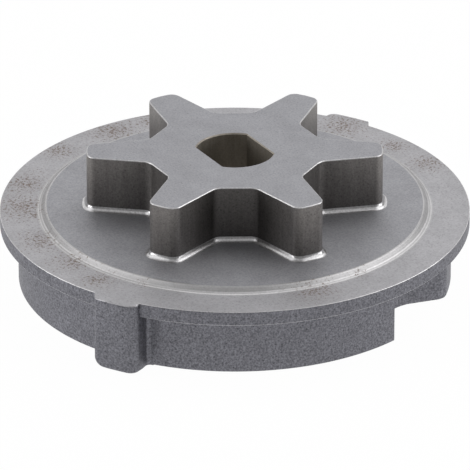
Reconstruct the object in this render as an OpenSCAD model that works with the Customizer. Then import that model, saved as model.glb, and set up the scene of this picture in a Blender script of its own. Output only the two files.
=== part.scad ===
// Drive sprocket for a garden machine, pressed and sintered in one piece: a star of spur teeth
// stands on a flanged hub with a double-flat bore. The hub's skirt carries two lugs and has two
// recesses, each with one radial face and one ramp, and both pairs repeat after half a turn.
// The bore runs along Z, the star is on top, one tooth points along X and the origin lies on
// the axis at the bottom face. Lengths are in millimetres and angles in degrees.

/* [Flange and skirt] */
// Diameter of the flange rim
flange_d = 48; // [46:0.5:49]
// Thickness of the flange rim
flange_t = 1.5; // [1:0.1:2.4]
// Diameter of the skirt under the flange
skirt_d = 44.3; // [42:0.1:46]
// Height of the skirt, up to the underside of the flange
skirt_h = 6.1; // [4:0.1:10]

/* [Turned face] */
// Diameter of the raised face that the star stands on
face_d = 38.6; // [34:0.2:40]
// Height of the raised face above the rim
face_step = 0.55; // [0.4:0.05:1.2]
// Radial width of the turned shoulder between rim and face
shoulder_w = 0.55; // [0.5:0.05:1.4]
// Fillet where the shoulder runs out on the rim
shoulder_toe_r = 0.8; // [0.2:0.1:1]

/* [Star] */
// Number of teeth
teeth = 6; // [5:1:7]
// Diameter over the tooth tips
tip_d = 30.2; // [28:0.2:33]
// Distance across two opposite gullet bottoms
gullet_flats = 17.8; // [16:0.2:19.4]
// Width of a tooth at its tip, before the corners are rounded
tip_w = 3.2; // [2.4:0.1:3.6]
// Slope of a tooth flank to the tooth's centre line
flank_slope = 10; // [6:0.2:14]
// Height of the star above the raised face
star_h = 5.9; // [4:0.1:9]
// Radius of the two corners of each tooth tip
tip_corner_r = 0.95; // [0.5:0.05:1]
// Radius of the two corners of each gullet bottom
gullet_corner_r = 1.25; // [0.8:0.05:1.4]
// Fillet at the foot of the star
foot_r = 0.5; // [0.2:0.05:0.6]

/* [Bore] */
// Diameter of the bore's round stretches
bore_d = 8; // [7:0.1:10]
// Distance across the bore's two flats
bore_flats = 6; // [5:0.1:6.6]

/* [Lugs] */
// Diameter over the two lugs
lug_d = 50; // [49.2:0.1:52]
// Width of a lug across its outer face
lug_w = 4.7; // [4:0.1:8]
// Position of the first lug's radial face, from the X axis
lug_at = 306; // [300:1:320]
// Radius of a lug's outer corner on the radial face
lug_corner_r = 1; // [0.4:0.1:1.2]
// Fillet between the radial face and the skirt
lug_foot_r = 0.5; // [0.4:0.1:1.4]
// Rounding under the ramp of a lug
lug_lead_r = 0.9; // [0.3:0.1:1.2]

/* [Recesses] */
// Diameter at the floor of the two recesses
recess_floor_d = 36; // [34:0.2:38]
// Position of the first recess's radial face, from the X axis
recess_at = 15.8; // [10:0.2:22]
// Angle from the radial face to the end of the ramp, along the skirt
recess_span = 28.7; // [26:0.1:32]
// Radius between the radial face and the floor
recess_corner_r = 1; // [0.4:0.1:1.4]
// Radius that blends the floor into the ramp
ramp_blend_r = 3.6; // [2.4:0.1:4.4]
// Radius of the rounded end of the ramp
ramp_end_r = 1.5; // [0.6:0.1:2]
// Slope of the ramps on lugs and recesses to the radial direction
ramp_slope = 33.5; // [28:0.5:38]

/* [Edges] */
// Broken edges of flange and skirt
rim_edge = 0.15; // [0.1:0.05:0.4]
// Broken edge round the top of the star and the mouth of the bore
star_edge = 0.1; // [0.06:0.02:0.2]
// Broken edge under the outer face of a lug
lug_edge = 0.3; // [0.1:0.05:0.5]

/* [Hidden] */
// Fragments of the large circles, and steps in which small arcs are drawn
$fn = 180;
corner_steps = 6;
// Lugs and recesses come in pairs, half a turn apart
pair = [0, 180];
// How far a piece is sunk into what carries it, and how far a cutter runs past a face
sink = 0.2;
past = 1;
// A small arc that runs out on a face or a circle passes it this far, so that the two cross cleanly
dip = 0.01;

steel = "#94949a";

flange_r = flange_d / 2;
skirt_r = skirt_d / 2;
face_r = face_d / 2;
rim_z = skirt_h + flange_t;
face_z = rim_z + face_step;
top_z = face_z + star_h;

tip_r = tip_d / 2;
gullet_r = gullet_flats / 2;
half_pitch = 180 / teeth;

bore_r = bore_d / 2;
bore_half = bore_flats / 2;

lug_r = lug_d / 2;
recess_floor_r = recess_floor_d / 2;

function polar(r, a) = [r * cos(a), r * sin(a)];
function mirrored(p) = [p.x, -p.y];
function bearing(p) = atan2(p.y, p.x);
function at_height(p, z) = [p.x, p.y, z];
function turned(p, a) = [p.x * cos(a) - p.y * sin(a), p.x * sin(a) + p.y * cos(a)];
// Point at radius r on the line whose normal at angle a has the length d, clockwise of the normal
function on_ring(r, a, d) = polar(d, a) + polar(sqrt(r * r - d * d), a - 90);
// Point where the line with the normal d at angle a meets the line with the normal e at angle b
function crossing(a, d, b, e) =
    [d * sin(b) - e * sin(a), e * cos(a) - d * cos(b)] / sin(b - a);
function arc(centre, r, from, to, steps = corner_steps) =
    [for (i = [0 : steps]) centre + polar(r, from + (to - from) * i / steps)];

// Half of one tooth, which points along X: the flank is a line with this normal
flank_normal = 90 - flank_slope;
flank_dist = tip_r * cos(flank_normal - asin(tip_w / tip_d));
tip_corner = on_ring(tip_r - tip_corner_r, flank_normal, flank_dist - tip_corner_r);
tip_bearing = bearing(tip_corner);
gullet_corner = crossing(
    flank_normal, flank_dist + gullet_corner_r, half_pitch, gullet_r + gullet_corner_r);

// The tooth's outline as pairs of a point and the way out of the wall there
function wall_arc(centre, r, from, to, out) =
    [for (i = [0 : corner_steps])
        let (a = from + (to - from) * i / corner_steps) [centre + polar(r, a), polar(out, a)]];
half_tooth = concat(
    [[[tip_r, 0], [1, 0]]],
    wall_arc(tip_corner, tip_corner_r, tip_bearing, flank_normal, 1),
    wall_arc(gullet_corner, gullet_corner_r, flank_normal + 180, half_pitch + 180, -1)
);
last = len(half_tooth) - 1;
whole_tooth = concat(
    [for (i = [last : -1 : 1]) [mirrored(half_tooth[i][0]), mirrored(half_tooth[i][1])]],
    half_tooth
);
star_outline = [
    for (k = [0 : teeth - 1]) for (w = whole_tooth)
        [turned(w[0], k * 2 * half_pitch), turned(w[1], k * 2 * half_pitch)]
];

// Offset out of the wall and height of each ring, from the buried foot up to the broken top edge
star_rings = concat(
    [[foot_r, -sink]],
    arc([foot_r, foot_r - dip], foot_r, 270, 180),
    [[0, star_h - star_edge], [-star_edge, star_h]]
);

// Loft through the rings
module star() {
    n = len(star_outline);
    top = len(star_rings) - 1;
    points = [
        for (ring = star_rings) for (w = star_outline)
            at_height(w[0] + w[1] * ring.x, face_z + ring.y)
    ];
    faces = concat(
        [[for (i = [0 : n - 1]) i]],
        [for (k = [0 : top - 1]) for (i = [0 : n - 1])
            let (j = (i + 1) % n) [k * n + j, k * n + i, (k + 1) * n + i, (k + 1) * n + j]],
        [[for (i = [n - 1 : -1 : 0]) top * n + i]]
    );
    polyhedron(points, faces, convexity = 8);
}

// Half section of flange, skirt and raised face
module hub_section() {
    slope = atan2(face_step, shoulder_w);
    toe_run = shoulder_toe_r * tan(slope / 2);
    toe = [face_r + shoulder_w + toe_run, rim_z + shoulder_toe_r];
    polygon(concat(
        [[0, 0], [skirt_r - rim_edge, 0], [skirt_r, rim_edge], [skirt_r, skirt_h]],
        [[flange_r - rim_edge, skirt_h], [flange_r, skirt_h + rim_edge]],
        [[flange_r, rim_z - rim_edge], [flange_r - rim_edge, rim_z]],
        arc(toe, shoulder_toe_r, 270, 270 - slope, 3),
        [[face_r, face_z], [0, face_z]]
    ));
}

// Top of a lug's ramp, the ramp's bearing and its length down into the skirt
lug_span = 2 * asin(lug_w / lug_d);
ramp_top = polar(lug_r, -lug_span);
ramp_bearing = ramp_slope - lug_span;
ramp_run = (lug_r - skirt_r + past) / cos(ramp_slope);

// Half section of the round body that a lug is a part of
module lug_section() {
    polygon([
        [0, 0], [lug_r - lug_edge, 0], [lug_r, lug_edge],
        [lug_r, rim_z - rim_edge], [lug_r - rim_edge, rim_z], [0, rim_z],
    ]);
}

// Plan of a lug with its radial face along X and its ramp on the -Y side
module lug_plan() {
    corner = on_ring(lug_r - lug_corner_r + dip, 90, -lug_corner_r);
    foot = on_ring(skirt_r + lug_foot_r - dip, 90, lug_foot_r);
    polygon(concat(
        [ramp_top - polar(ramp_run, ramp_bearing), ramp_top + polar(past, ramp_bearing)],
        [polar(lug_r + past, bearing(corner))],
        arc(corner, lug_corner_r, bearing(corner), 90),
        arc(foot, lug_foot_r, 270, bearing(foot) + 180),
        [polar(skirt_r - past, bearing(foot))]
    ));
}

// What the rounding under a lug's ramp takes off: X is the way out of the ramp, Y is up
module lead_profile() {
    polygon(concat(
        [[past, -past], [past, lug_lead_r]],
        arc([-lug_lead_r, lug_lead_r], lug_lead_r, 0, -90),
        [[-lug_lead_r, -past]]
    ));
}

module lug() {
    difference() {
        intersection() {
            linear_extrude(rim_z) lug_plan();
            rotate_extrude() lug_section();
        }
        translate(ramp_top + polar(past, ramp_bearing)) rotate([90, 0, ramp_bearing - 90])
            linear_extrude(past + ramp_run) lead_profile();
    }
}

// Plan of what a recess takes out of the skirt, with its radial face along X
module recess_plan() {
    slope_line = recess_span + ramp_slope + 90;
    slope_dist = skirt_r * sin(ramp_slope);
    corner = on_ring(recess_floor_r + recess_corner_r - dip, 90, recess_corner_r);
    blend = on_ring(
        recess_floor_r + ramp_blend_r - dip, slope_line, -slope_dist - ramp_blend_r);
    end = on_ring(skirt_r - ramp_end_r + dip, slope_line, ramp_end_r - slope_dist);
    difference() {
        polygon(concat(
            arc([0, 0], skirt_r + past, bearing(end), 0),
            arc(corner, recess_corner_r, 270, bearing(corner) + 180),
            [polar(recess_floor_r - past, bearing(corner))],
            [polar(recess_floor_r - past, bearing(blend))],
            arc(blend, ramp_blend_r, bearing(blend) + 180, slope_line),
            arc(end, ramp_end_r, slope_line - 180, bearing(end))
        ));
        circle(recess_floor_r);
    }
}

module recess() {
    translate([0, 0, -past]) linear_extrude(skirt_h + past) recess_plan();
}

// Broken edge of the bore at the top of the star, opening upwards from where it starts
module bore_mouth() {
    rise = star_edge + past;
    intersection() {
        cylinder(h = rise, r1 = bore_r, r2 = bore_r + rise);
        rotate([90, 0, 90]) linear_extrude(2 * bore_d, center = true) polygon([
            [-bore_half, 0], [bore_half, 0], [bore_half + rise, rise], [-bore_half - rise, rise],
        ]);
    }
}

module bore() {
    translate([0, 0, -past]) linear_extrude(top_z + 2 * past) intersection() {
        circle(bore_r);
        square([2 * bore_d, bore_flats], center = true);
    }
    translate([0, 0, top_z - star_edge]) bore_mouth();
    mirror([0, 0, 1]) translate([0, 0, -star_edge]) bore_mouth();
}

module sprocket() {
    color(steel) difference() {
        union() {
            rotate_extrude() hub_section();
            star();
            for (a = pair) rotate(lug_at + a) lug();
        }
        for (a = pair) rotate(recess_at + a) recess();
        bore();
    }
}

sprocket();
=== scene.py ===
# Drive sprocket of a garden machine: one sintered steel part, built as it is put together in the
# die, from the flanged hub to the star, the two lugs, the two recesses and the bore.
import math

import bmesh
import bpy
from mathutils import Matrix, Vector


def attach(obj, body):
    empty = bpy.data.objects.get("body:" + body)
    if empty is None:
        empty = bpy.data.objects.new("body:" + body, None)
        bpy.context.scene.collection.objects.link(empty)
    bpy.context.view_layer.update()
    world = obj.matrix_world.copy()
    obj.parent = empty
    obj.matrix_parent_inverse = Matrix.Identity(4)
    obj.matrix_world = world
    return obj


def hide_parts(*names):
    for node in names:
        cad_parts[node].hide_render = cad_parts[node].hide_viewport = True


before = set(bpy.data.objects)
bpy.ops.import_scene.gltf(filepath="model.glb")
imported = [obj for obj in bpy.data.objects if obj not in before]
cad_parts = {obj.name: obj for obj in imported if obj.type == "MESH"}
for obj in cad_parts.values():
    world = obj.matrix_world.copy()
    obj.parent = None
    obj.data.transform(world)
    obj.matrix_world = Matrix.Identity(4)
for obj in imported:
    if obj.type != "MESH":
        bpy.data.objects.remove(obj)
bpy.context.view_layer.update()

# Hub: a flange 48 mm across on a skirt 44.3 mm across, pressed in one stroke. A lathe tool has cut
# the shoulder between rim and raised face, and its feed marks run from the face's edge to the toe.
MM = 0.001
FLANGE_R = 24.0
SKIRT_R = 22.15
SKIRT_TOP = 6.1
RIM_Z = 7.6
FACE_Z = 8.15
FACE_R = 19.36
SHOULDER_R = 19.95
TOE = 0.8
RIM_EDGE = 0.07
FLANGE_EDGE = 0.11
UNDER_FILLET = 0.12
BOTTOM_EDGE = 0.18
BOTTOM_R = 10.0
ROUND = 60 * 6
MARKS_FROM = 18.6
MARK_PITCH = 0.3
MARK_DEPTH = 0.006
FACE_CUTS = 15
CONE_CUTS = 8


def polar(r, degrees):
    return Vector((r * math.cos(math.radians(degrees)), r * math.sin(math.radians(degrees)), 0))


def wire(mesh, points):
    """A chain of edges through the points."""
    verts = [mesh.verts.new(p) for p in points]
    for a, b in zip(verts, verts[1:]):
        mesh.edges.new((a, b))
    return verts


def round_corner(mesh, vert, radius, segments):
    """Rounds one corner of a flat outline or chain to a radius."""
    a, b = [e.other_vert(vert).co - vert.co for e in vert.link_edges]
    offset = radius / math.tan(a.angle(b) / 2)
    return bmesh.ops.bevel(
        mesh, geom=[vert], offset=offset, offset_type="OFFSET", affect="VERTICES",
        segments=segments, profile=0.5, clamp_overlap=False, material=-1,
    )


def spin(mesh, geom, degrees, steps, **options):
    return bmesh.ops.spin(
        mesh, geom=geom, cent=(0, 0, 0), axis=(0, 0, 1), angle=math.radians(degrees),
        steps=steps, **options,
    )


hub = bmesh.new()
section = wire(hub, [
    (MARKS_FROM, 0, FACE_Z), (FACE_R, 0, FACE_Z), (SHOULDER_R, 0, RIM_Z), (FLANGE_R, 0, RIM_Z),
    (FLANGE_R, 0, SKIRT_TOP), (SKIRT_R, 0, SKIRT_TOP), (SKIRT_R, 0, 0), (BOTTOM_R, 0, 0),
])
face_edge = [section[0].link_edges[0]]
for corner, radius, segments in (
        (section[2], TOE, 12), (section[3], RIM_EDGE, 4), (section[4], FLANGE_EDGE, 4),
        (section[5], UNDER_FILLET, 2), (section[6], BOTTOM_EDGE, 4)):
    round_corner(hub, corner, radius, segments)
cone = [e for e in section[1].link_edges if e not in face_edge]
bmesh.ops.subdivide_edges(hub, edges=face_edge, cuts=FACE_CUTS)
bmesh.ops.subdivide_edges(hub, edges=cone, cuts=CONE_CUTS)
# The cut line dips a little once in each turn of the feed.
turned_line = sorted((v for v in hub.verts if v.co.z > RIM_Z + 0.001), key=lambda v: v.co.x)
run = 0.0
moves = []
for before, v, after in zip(turned_line, turned_line[1:], turned_line[2:]):
    run += (v.co - before.co).length
    along = (after.co - before.co).normalized()
    depth = MARK_DEPTH * (1 - math.cos(2 * math.pi * run / MARK_PITCH)) / 2
    moves.append((v, Vector((-along.z, 0, along.x)) * -depth))
for v, move in moves:
    v.co += move
spin(hub, hub.verts[:] + hub.edges[:], 360, ROUND, use_merge=True)


# Star: six straight teeth, 30.2 mm over the tips and 5.9 mm high, with rounded corners, a fillet at
# the foot and a broken top edge. It stands on the raised face, in one piece with it.
TEETH = 6
TIP_R = 15.1
GULLET_R = 8.9
TIP_W = 3.2
FLANK_SLOPE = 10.0
STAR_H = 5.9
TIP_CORNER = 0.95
GULLET_CORNER = 1.25
FOOT = 0.47
FOOT_ROOM = 0.6
TOP_EDGE = 0.09
STRAIGHT = 160.0


def crossing(a, d, b, e):
    """Where the line with its normal at angle a, d from the centre, meets the one at b and e."""
    a, b = math.radians(a), math.radians(b)
    s = math.sin(b - a)
    x = (d * math.sin(b) - e * math.sin(a)) / s
    y = (e * math.cos(a) - d * math.cos(b)) / s
    return Vector((x, y, 0))


flank = 90 - FLANK_SLOPE
flank_d = TIP_R * math.cos(math.radians(flank) - math.asin(TIP_W / 2 / TIP_R)) + FOOT_ROOM
tip_r = TIP_R + FOOT_ROOM
tip = polar(flank_d, flank) + polar(math.sqrt(tip_r ** 2 - flank_d ** 2), flank - 90)
gullet = crossing(flank, flank_d, 180 / TEETH, GULLET_R + FOOT_ROOM)
gullet_middle = polar(GULLET_R + FOOT_ROOM, 180 / TEETH)
half = [Vector((tip_r, 0, 0)), tip, gullet, gullet_middle]
tooth = [Vector((p.x, -p.y, 0)) for p in half[:0:-1]] + half
star = bmesh.new()
wire(star, tooth)
spin(star, star.verts[:] + star.edges[:], 360, TEETH, use_duplicate=True)
bmesh.ops.remove_doubles(star, verts=star.verts[:], dist=0.001)
bmesh.ops.contextual_create(star, geom=star.edges[:])
for v in star.verts[:]:
    a, b = [e.other_vert(v).co - v.co for e in v.link_edges]
    if a.angle(b) < math.radians(STRAIGHT):
        at_tip = v.co.length > GULLET_R + 2 * FOOT_ROOM
        round_corner(star, v, TIP_CORNER + FOOT_ROOM if at_tip else GULLET_CORNER - FOOT_ROOM, 8)
outline = next(iter(star.faces))
bmesh.ops.inset_region(star, faces=[outline], thickness=FOOT_ROOM, use_even_offset=True,
                       use_boundary=True)
foot_line = outline.edges[:]
raised = bmesh.ops.extrude_face_region(star, geom=[outline])["geom"]
bmesh.ops.delete(star, geom=[outline], context="FACES_ONLY")
bmesh.ops.translate(star, vec=(0, 0, STAR_H),
                    verts=[v for v in raised if isinstance(v, bmesh.types.BMVert)])
top_line = [e for e in star.edges if all(v.co.z > STAR_H / 2 for v in e.verts)]
for edges, size, segments, profile in ((foot_line, FOOT, 8, 0.42), (top_line, TOP_EDGE, 3, 0.5)):
    bmesh.ops.bevel(star, geom=edges, offset=size, offset_type="OFFSET", affect="EDGES",
                    segments=segments, profile=profile, clamp_overlap=False, material=-1)
bmesh.ops.translate(star, vec=(0, 0, FACE_Z), verts=star.verts[:])
stand_in = bpy.data.meshes.new("star")
star.to_mesh(stand_in)
star.free()
hub.from_mesh(stand_in)
bpy.data.meshes.remove(stand_in)
rings = [e for e in hub.edges if e.is_boundary and e.verts[0].co.z > RIM_Z]
bmesh.ops.triangle_fill(hub, use_beauty=True, use_dissolve=False, edges=rings, normal=(0, 0, 1))
under = [e for e in hub.edges if e.is_boundary]
bmesh.ops.edgeloop_fill(hub, edges=under)
bmesh.ops.recalc_face_normals(hub, faces=hub.faces[:])


# Lugs: two drivers on the skirt, half a turn apart, flush with the rim and 1 mm proud of it. Each
# has a radial face with a hollow foot and, on its other side, a ramp that is rounded underneath.
LUG_R = 25.0
LUG_W = 4.7
LUG_AT = 306.0
RAMP = 33.5
LUG_CORNER = 1.0
LUG_FOOT = 0.5
LUG_LEAD = 0.9
LUG_EDGE = 0.3
LUG_CREASE = 50.0
LUG_BACK = 1.7
INSIDE = 2.0
TOUCH = 1e-4
PAIR = (0.0, 180.0)


def rise(mesh, height):
    """Raises the one flat face of a mesh into a block and keeps the face below."""
    side = bmesh.ops.extrude_face_region(mesh, geom=mesh.faces[:])["geom"]
    bmesh.ops.translate(mesh, vec=(0, 0, height),
                        verts=[v for v in side if isinstance(v, bmesh.types.BMVert)])
    bmesh.ops.recalc_face_normals(mesh, faces=mesh.faces[:])


lug_span = math.degrees(2 * math.asin(LUG_W / 2 / LUG_R))
ramp_top = polar(LUG_R, -lug_span)
ramp_foot = ramp_top - polar((LUG_R - SKIRT_R + 1) / math.cos(math.radians(RAMP)), RAMP - lug_span)
lug = bmesh.new()
outer = wire(lug, [ramp_top])
spin(lug, outer, lug_span, 3)
lug.verts.ensure_lookup_table()
outer = sorted(lug.verts, key=lambda v: v.co.y)
rest = wire(lug, [polar(SKIRT_R, 0), polar(SKIRT_R, LUG_BACK), polar(SKIRT_R - INSIDE, LUG_BACK),
                  ramp_foot])
lug.edges.new((outer[-1], rest[0]))
lug.edges.new((rest[-1], outer[0]))
round_corner(lug, outer[-1], LUG_CORNER, 8)
round_corner(lug, rest[0], LUG_FOOT, 8)
bmesh.ops.contextual_create(lug, geom=lug.edges[:])
rise(lug, RIM_Z)


def under_ramp(v):
    """Whether a vertex is at either end of the ramp's lower edge."""
    ends = (ramp_top, ramp_foot)
    return v.co.z < TOUCH and any((v.co.xy - end.xy).length < TOUCH for end in ends)


ramp_line = [e for e in lug.edges if all(under_ramp(v) for v in e.verts)]
bmesh.ops.bevel(lug, geom=ramp_line, offset=LUG_LEAD, offset_type="OFFSET", affect="EDGES",
                segments=6, profile=0.5, clamp_overlap=False, material=-1)
edges = [e for e in lug.edges if e.calc_face_angle(0) > math.radians(LUG_CREASE)
         and all(v.co.xy.length > SKIRT_R + 0.6 for v in e.verts)]
bmesh.ops.bevel(lug, geom=edges, offset=LUG_EDGE, offset_type="OFFSET", affect="EDGES",
                segments=3, profile=0.5, clamp_overlap=False, material=-1)


# Recesses: two pockets in the skirt for the drum's drivers, half a turn apart and open to the
# underside, each with a radial face, a round floor and a ramp of the same hand as the lugs'.
FLOOR_R = 18.0
RECESS_AT = 15.8
RECESS_SPAN = 28.7
RECESS_CORNER = 1.0
RAMP_BLEND = 3.6
RAMP_END = 1.5
OUTSIDE = 2.0
CLEAR = 1.0

mouth = polar(SKIRT_R, RECESS_SPAN)
off = math.degrees(math.asin(SKIRT_R * math.sin(math.radians(RAMP)) / FLOOR_R))
floor_end = RECESS_SPAN + RAMP - off
recess = bmesh.new()
start = wire(recess, [polar(FLOOR_R, 0)])
spin(recess, start, floor_end, 3)
recess.verts.ensure_lookup_table()
floor_line = sorted(recess.verts, key=lambda v: v.co.y)
way_round = wire(recess, [
    mouth, mouth + polar(OUTSIDE + 1, RECESS_SPAN + 90), polar(SKIRT_R + OUTSIDE, RECESS_SPAN + 7),
    polar(SKIRT_R + OUTSIDE + 1, RECESS_SPAN / 2), polar(SKIRT_R + OUTSIDE, 0),
])
recess.edges.new((floor_line[-1], way_round[0]))
recess.edges.new((way_round[-1], floor_line[0]))
for corner, radius in ((floor_line[0], RECESS_CORNER), (floor_line[-1], RAMP_BLEND),
                       (way_round[0], RAMP_END)):
    round_corner(recess, corner, radius, 8)
bmesh.ops.contextual_create(recess, geom=recess.edges[:])
rise(recess, SKIRT_TOP + CLEAR)
bmesh.ops.translate(recess, vec=(0, 0, -CLEAR), verts=recess.verts[:])


# Bore: a hole 8 mm across with two flats 6 mm apart, from top to bottom, with its edges broken.
BORE_R = 4.0
FLATS = 6.0
BORE_EDGE = 0.12

bore = bmesh.new()
bmesh.ops.create_circle(bore, cap_ends=True, segments=96, radius=BORE_R)
for side in (1, -1):
    bmesh.ops.bisect_plane(bore, geom=bore.verts[:] + bore.edges[:] + bore.faces[:],
                           plane_co=(0, side * FLATS / 2, 0), plane_no=(0, side, 0),
                           clear_outer=True)
straight = FACE_Z + STAR_H - 2 * BORE_EDGE
rise(bore, straight)
flare = 1 + (BORE_EDGE + CLEAR) / BORE_R
for z, way in ((straight, 1), (0, -1)):
    end = [f for f in bore.faces if abs(f.calc_center_median().z - z) < TOUCH]
    ret = bmesh.ops.extrude_face_region(bore, geom=end)["geom"]
    bmesh.ops.delete(bore, geom=end, context="FACES_ONLY")
    moved = [v for v in ret if isinstance(v, bmesh.types.BMVert)]
    bmesh.ops.scale(bore, vec=(flare, flare, 1), verts=moved)
    bmesh.ops.translate(bore, vec=(0, 0, way * (BORE_EDGE + CLEAR)), verts=moved)
bmesh.ops.translate(bore, vec=(0, 0, BORE_EDGE), verts=bore.verts[:])


# One piece: the lugs join the hub and star, the recesses and the bore are cut away, and each face
# takes the finish of the surface that it lies on. Edges over 32 degrees stay sharp.
FLAT = 0.999
UPRIGHT = 0.01
SHARP = 32.0


def solid(name, mesh, turn=0):
    data = bpy.data.meshes.new(name)
    copy = mesh.copy()
    bmesh.ops.rotate(copy, cent=(0, 0, 0), matrix=Matrix.Rotation(math.radians(turn), 3, "Z"),
                     verts=copy.verts[:])
    copy.to_mesh(data)
    copy.free()
    piece = bpy.data.objects.new(name, data)
    bpy.context.scene.collection.objects.link(piece)
    return piece


sprocket = solid("sprocket_casting", hub)
tools = []
for turn in PAIR:
    tools.append((solid("lug", lug, LUG_AT + turn), "UNION"))
for turn in PAIR:
    tools.append((solid("recess", recess, RECESS_AT + turn), "DIFFERENCE"))
tools.append((solid("bore", bore), "DIFFERENCE"))
for tool, operation in tools:
    step = sprocket.modifiers.new(tool.name, "BOOLEAN")
    step.object = tool
    step.operation = operation
    step.solver = "EXACT"
made = bpy.data.meshes.new_from_object(
    sprocket.evaluated_get(bpy.context.evaluated_depsgraph_get()))
sprocket.modifiers.clear()
sprocket.data = made
for tool, _ in tools:
    bpy.data.objects.remove(tool)

body = bmesh.new()
body.from_mesh(made)
TOP_Z = FACE_Z + STAR_H
FACE, RIM, TURNED, WALL, TOOTH, EDGE, BORE = range(7)
for f in body.faces:
    p, n = f.calc_center_median(), f.normal
    r = p.xy.length
    if r < BORE_R + 0.2 and n.xy.dot(p.xy) < 0 and p.z < TOP_Z:
        f.material_index = BORE
    elif FACE_R - 0.15 < r < SHOULDER_R + 0.5 and p.z > RIM_Z + 0.001:
        f.material_index = TURNED
    elif abs(n.z) > FLAT or MARKS_FROM < r < FACE_R and p.z > RIM_Z + 0.4:
        f.material_index = FACE if r < FACE_R else RIM
    # Fillets and broken edges take the painted edge highlight; upright walls take the darker
    # finishes that paint their shade.
    elif p.z > FACE_Z:
        f.material_index = TOOTH if abs(n.z) < UPRIGHT else EDGE
    else:
        top = RIM if r > FLANGE_R else EDGE
        f.material_index = WALL if abs(n.z) < 0.5 or p.z < SKIRT_TOP else top
    f.smooth = True
for e in body.edges:
    e.smooth = e.calc_face_angle(0) < math.radians(SHARP)
bmesh.ops.scale(body, vec=(MM, MM, MM), verts=body.verts[:])
body.to_mesh(made)
body.free()
weighted = sprocket.modifiers.new("even shading", "WEIGHTED_NORMAL")
weighted.keep_sharp = True
weighted.weight = 100
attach(sprocket, "root")
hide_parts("sprocket")


def linear(code):
    """sRGB hex to linear red, green, blue and alpha."""
    parts = [int(code[i:i + 2], 16) / 255 for i in (1, 3, 5)]
    return [c / 12.92 if c <= 0.04045 else ((c + 0.055) / 1.055) ** 2.4 for c in parts] + [1.0]


def add(tree, kind, settings=(), **links):
    """Adds a node with its settings, and gives each named input a value or a link."""
    made = tree.nodes.new(kind)
    for name, value in dict(settings).items():
        setattr(made, name, value)
    for name, value in links.items():
        key = int(name[1:]) if name[0] == "_" else name.replace("_", " ")
        if isinstance(value, bpy.types.NodeSocket):
            tree.links.new(value, made.inputs[key])
        else:
            made.inputs[key].default_value = value
    return made


def ranged(tree, value, start, end, low, high):
    """Maps a value that runs from start to end onto low to high, and holds it within them."""
    return add(tree, "ShaderNodeMapRange", Value=value, From_Min=start, From_Max=end, To_Min=low,
               To_Max=high).outputs[0]


# Rust: the bare steel has lain damp, so brown freckles sit on the rim and a few on the shoulder,
# each patch given as its radius and bearing on the part and its own size in millimetres.
RUST = "#77675D"
RUST_METAL = 0.3
RUST_ROUGHNESS = 0.85
PATCHES = (
    (22.4, 171.0, 5.0), (22.2, 184.0, 5.8), (22.6, 203.0, 3.6), (22.3, 225.0, 5.4),
    (21.6, 239.0, 6.4), (20.2, 244.0, 3.2), (20.9, 261.0, 4.8), (20.5, 277.0, 4.4),
    (21.6, 290.0, 3.6), (19.7, 302.0, 1.6), (20.6, 352.0, 4.4), (19.6, 8.0, 2.0),
    (22.5, 87.0, 3.8), (22.0, 101.0, 3.2), (22.6, 119.0, 5.4),
)


# Steel: one sintered metal in seven finishes, as the punch, the tool, the die and the shaft have
# left its surfaces. Painted shade darkens the teeth walls, and it ends at a radius of 12 mm, beyond
# which they are painted lighter.
PAINTED_SHADE_END_R = 12.0


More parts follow.
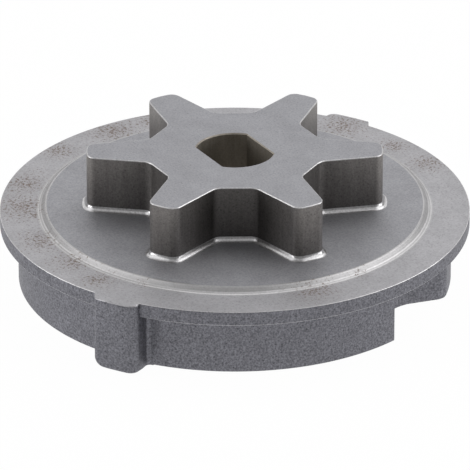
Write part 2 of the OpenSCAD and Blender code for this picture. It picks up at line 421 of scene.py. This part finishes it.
def finish(name, colour, roughness, grain, pores, drag=0.0, turning=0.0, rust=0.0, painted_shade=0.0):
    """Sintered steel: metal grey with powder grain and pores, rust where it lay bare, and painted
    shade where asked.
    """
    made = bpy.data.materials.new(name)
    made.use_nodes = True
    tree = made.node_tree
    tree.nodes.clear()
    place = add(tree, "ShaderNodeTexCoord").outputs["Object"]
    mm = add(tree, "ShaderNodeVectorMath", {"operation": "SCALE"}, _0=place,
             Scale=1 / MM).outputs[0]
    # Powder grains are 0.1 mm across; they are drawn at 0.2 mm, as finer ones don't show.
    speck = add(tree, "ShaderNodeTexNoise", Vector=mm, Scale=5.2, Detail=2.0, Roughness=0.7)
    value = ranged(tree, speck.outputs[0], 0.35, 0.65, 1 - grain, 1 + grain)
    pit = add(tree, "ShaderNodeTexVoronoi", {"feature": "F1"}, Vector=mm, Scale=3.0, Randomness=1.0)
    hole = ranged(tree, pit.outputs["Distance"], 0.12, 0.36, 1 - pores, 1.0)
    cloud = add(tree, "ShaderNodeTexNoise", Vector=mm, Scale=0.35, Detail=3.0, Roughness=0.6)
    drift = ranged(tree, cloud.outputs[0], 0.3, 0.7, 0.94, 1.06)
    factors = [hole, drift]
    flat = add(tree, "ShaderNodeVectorMath", {"operation": "MULTIPLY"}, _0=mm, _1=(1, 1, 0))
    out = add(tree, "ShaderNodeVectorMath", {"operation": "LENGTH"},
              _0=flat.outputs[0]).outputs["Value"]
    if drag:
        # The die drags fine lines up the walls as the pressing leaves it, 0.3 mm apart.
        drawn = add(tree, "ShaderNodeVectorMath", {"operation": "MULTIPLY"}, _0=mm,
                    _1=(3.2, 3.2, 0.12))
        line = add(tree, "ShaderNodeTexNoise", Vector=drawn.outputs[0], Scale=1.0, Detail=2.0)
        factors.append(ranged(tree, line.outputs[0], 0.3, 0.7, 1 - drag, 1 + drag))
    if painted_shade:
        # Painted shade: the walls darken towards the foot and most into the gullets, and are
        # painted lighter towards the tips.
        high = add(tree, "ShaderNodeSeparateXYZ", Vector=mm).outputs["Z"]
        factors.append(ranged(tree, high, FACE_Z, TOP_Z, 1 - painted_shade / 2, 1 + painted_shade / 2))
        factors.append(ranged(tree, out, GULLET_R, PAINTED_SHADE_END_R, 1 - 2 * painted_shade, 1 + painted_shade / 2))
    if turning:
        # The tool's chatter makes some turns of the feed brighter than the next.
        feed = add(tree, "ShaderNodeTexNoise", {"noise_dimensions": "1D"}, W=out, Scale=8.0,
                   Detail=2.0)
        factors.append(ranged(tree, feed.outputs[0], 0.3, 0.7, 1 - turning, 1 + turning))
    for factor in factors:
        value = add(tree, "ShaderNodeMath", {"operation": "MULTIPLY"}, _0=value,
                    _1=factor).outputs[0]
    tint = add(tree, "ShaderNodeVectorMath", {"operation": "SCALE"}, _0=linear(colour)[:3],
               Scale=value).outputs[0]
    metal, rough = 1.0, roughness
    if rust:
        near_patch = None
        for r, bearing, size in PATCHES:
            gap = add(tree, "ShaderNodeVectorMath", {"operation": "DISTANCE"}, _0=mm,
                      _1=polar(r, bearing) + Vector((0, 0, RIM_Z)))
            weight = ranged(tree, gap.outputs["Value"], size, 0.0, 0.0, rust)
            near_patch = weight if near_patch is None else add(
                tree, "ShaderNodeMath", {"operation": "MAXIMUM"}, _0=near_patch,
                _1=weight).outputs[0]
        freckle = add(tree, "ShaderNodeTexNoise", Vector=mm, Scale=3.3, Detail=4.0, Roughness=0.7)
        both = add(tree, "ShaderNodeMath", {"operation": "ADD"}, _0=freckle.outputs[0],
                   _1=near_patch)
        brown = ranged(tree, both.outputs[0], 0.66, 0.76, 0.0, 0.85)
        brown = add(tree, "ShaderNodeMath", {"operation": "MULTIPLY_ADD"}, _0=near_patch, _1=0.3,
                    _2=brown).outputs[0]
        tint = add(tree, "ShaderNodeMix", {"data_type": "RGBA"}, _0=brown, _6=tint,
                   _7=linear(RUST)).outputs[2]
        metal = ranged(tree, brown, 0.0, 1.0, 1.0, RUST_METAL)
        rough = ranged(tree, brown, 0.0, 1.0, roughness, RUST_ROUGHNESS)
    bump = add(tree, "ShaderNodeBump", Height=value, Strength=0.6, Distance=0.00002)
    shader = add(tree, "ShaderNodeBsdfPrincipled", Base_Color=tint, Metallic=metal, Roughness=rough,
                 Normal=bump.outputs[0])
    add(tree, "ShaderNodeOutputMaterial", Surface=shader.outputs[0])
    return made


for made_finish in (
        # An even satin grey with hardly any grain: the punch pressed it flat.
        finish("sintered_steel_pressed_face", "#A2A2A6", 0.58, 0.1, 0.14, rust=0.02),
        # A shade lighter and more open than the face, with brown freckles.
        finish("sintered_steel_rim", "#B0AFB2", 0.55, 0.09, 0.2, rust=0.2),
        # Bright cut metal in fine rings that catch the lamps as a white line; its lighter colour
        # also paints part of that highlight.
        finish("sintered_steel_turned", "#B8B7B8", 0.41, 0.06, 0.1, turning=0.19, rust=0.15),
        # A dull, sandy grey: the die's side leaves the powder grain open, and the grey is darker
        # than the faces to paint the walls' shade.
        finish("sintered_steel_die_wall", "#7A7A80", 0.55, 0.34, 0.38),
        # Dark brown-grey, darker than the tops to paint the walls' shade, with painted shade
        # deepest in the gullets.
        finish("sintered_steel_tooth_wall", "#767371", 0.44, 0.15, 0.24, drag=0.07, painted_shade=0.16),
        # The lightest metal: a painted highlight along the fillets and broken edges.
        finish("sintered_steel_painted_edge_highlight", "#C8C7C8", 0.28, 0.12, 0.2),
        # A warm grey, oiled by the shaft, with faint lines up the hole.
        finish("sintered_steel_bore", "#9A948B", 0.55, 0.1, 0.1, drag=0.08)):
    sprocket.data.materials.append(made_finish)


# Floor: white paper that runs on past the picture. It stays white where a camera or a mirror-like
# surface sees it, and takes the part's shadow as plain matt paper.
FLOOR_SIZE = 3.0
FLOOR_Z = -0.05
PAPER_WHITE = 0.98
SKY = 0.22

floor_mesh = bmesh.new()
bmesh.ops.create_grid(floor_mesh, x_segments=1, y_segments=1, size=FLOOR_SIZE,
                      matrix=Matrix.Translation((0, 0, FLOOR_Z * MM)))
data = bpy.data.meshes.new("floor")
floor_mesh.to_mesh(data)
floor_mesh.free()
floor = bpy.data.objects.new("floor", data)
bpy.context.scene.collection.objects.link(floor)
paper = bpy.data.materials.new("white_paper_floor")
paper.use_nodes = True
tree = paper.node_tree
tree.nodes.clear()
path = add(tree, "ShaderNodeLightPath").outputs
seen = add(tree, "ShaderNodeMath", {"operation": "ADD"}, _0=path["Is Camera Ray"],
           _1=path["Is Glossy Ray"])
seen = add(tree, "ShaderNodeMath", {"operation": "ADD", "use_clamp": True}, _0=seen.outputs[0],
           _1=path["Is Transmission Ray"])
white = add(tree, "ShaderNodeMath", {"operation": "MULTIPLY"}, _0=seen.outputs[0],
            _1=PAPER_WHITE)
matt = add(tree, "ShaderNodeBsdfDiffuse", Color=linear("#F4F4F4"))
glow = add(tree, "ShaderNodeEmission", Color=(1, 1, 1, 1), Strength=1.0)
both = add(tree, "ShaderNodeMixShader", Fac=white.outputs[0], _1=matt.outputs[0],
           _2=glow.outputs[0])
add(tree, "ShaderNodeOutputMaterial", Surface=both.outputs[0])
data.materials.append(paper)

# Camera: a long lens that looks down on the part's middle at 26 degrees. It and the lamps are
# turned round the bore's axis by one angle, so the front of the picture is at a bearing of 329.
YAW = 59.27
TILT = 26.08
AWAY = 0.768
ASIDE = 0.000026
ABOVE = 0.003978
turn = Matrix.Rotation(math.radians(YAW), 4, "Z")
aim = turn @ Matrix.Rotation(math.radians(90 - TILT), 4, "X")
camera = bpy.data.objects.new("camera", bpy.data.cameras.new("camera"))
camera.data.sensor_width = 36.0
camera.data.lens = 573.5
camera.matrix_world = aim @ Matrix.Translation((ASIDE, ABOVE, AWAY))
bpy.context.scene.collection.objects.link(camera)
bpy.context.scene.camera = camera

# Light: an even sky and seven soft boxes, each given as its bearing from the camera, its height in
# degrees, its size and brightness, and how far it stands from the part.
world = bpy.data.worlds.new("even_sky")
world.use_nodes = True
world.node_tree.nodes["Background"].inputs["Color"].default_value = (1, 1, 1, 1)
world.node_tree.nodes["Background"].inputs["Strength"].default_value = SKY
bpy.context.scene.world = world

for name, azimuth, height, size, level, away in (
        ("back_box", 180, 24, (0.85, 0.28), 0.88, 0.55),
        ("top_box", 155, 65, (0.5, 0.4), 1.0, 0.5),
        ("front_box", 0, 62, (0.5, 0.3), 0.28, 0.5),
        ("left_box", -99, 46, (0.52, 0.24), 1.1, 0.4),
        ("right_box", 99, 46, (0.52, 0.24), 1.3, 0.4),
        ("left_low_box", -88, 12, (0.25, 0.15), 3.5, 0.35),
        ("right_low_box", 94, 12, (0.25, 0.15), 3.2, 0.35)):
    lamp = bpy.data.lights.new(name, "AREA")
    lamp.shape = "RECTANGLE"
    lamp.size, lamp.size_y = size
    lamp.energy = level * math.pi * size[0] * size[1]
    box = bpy.data.objects.new(name, lamp)
    box.matrix_world = (turn @ Matrix.Rotation(math.radians(azimuth), 4, "Z")
                        @ Matrix.Rotation(math.radians(90 - height), 4, "X")
                        @ Matrix.Translation((0, 0, away)))
    bpy.context.scene.collection.objects.link(box)

bpy.context.scene.view_settings.view_transform = "Standard"

bpy.context.view_layer.update()
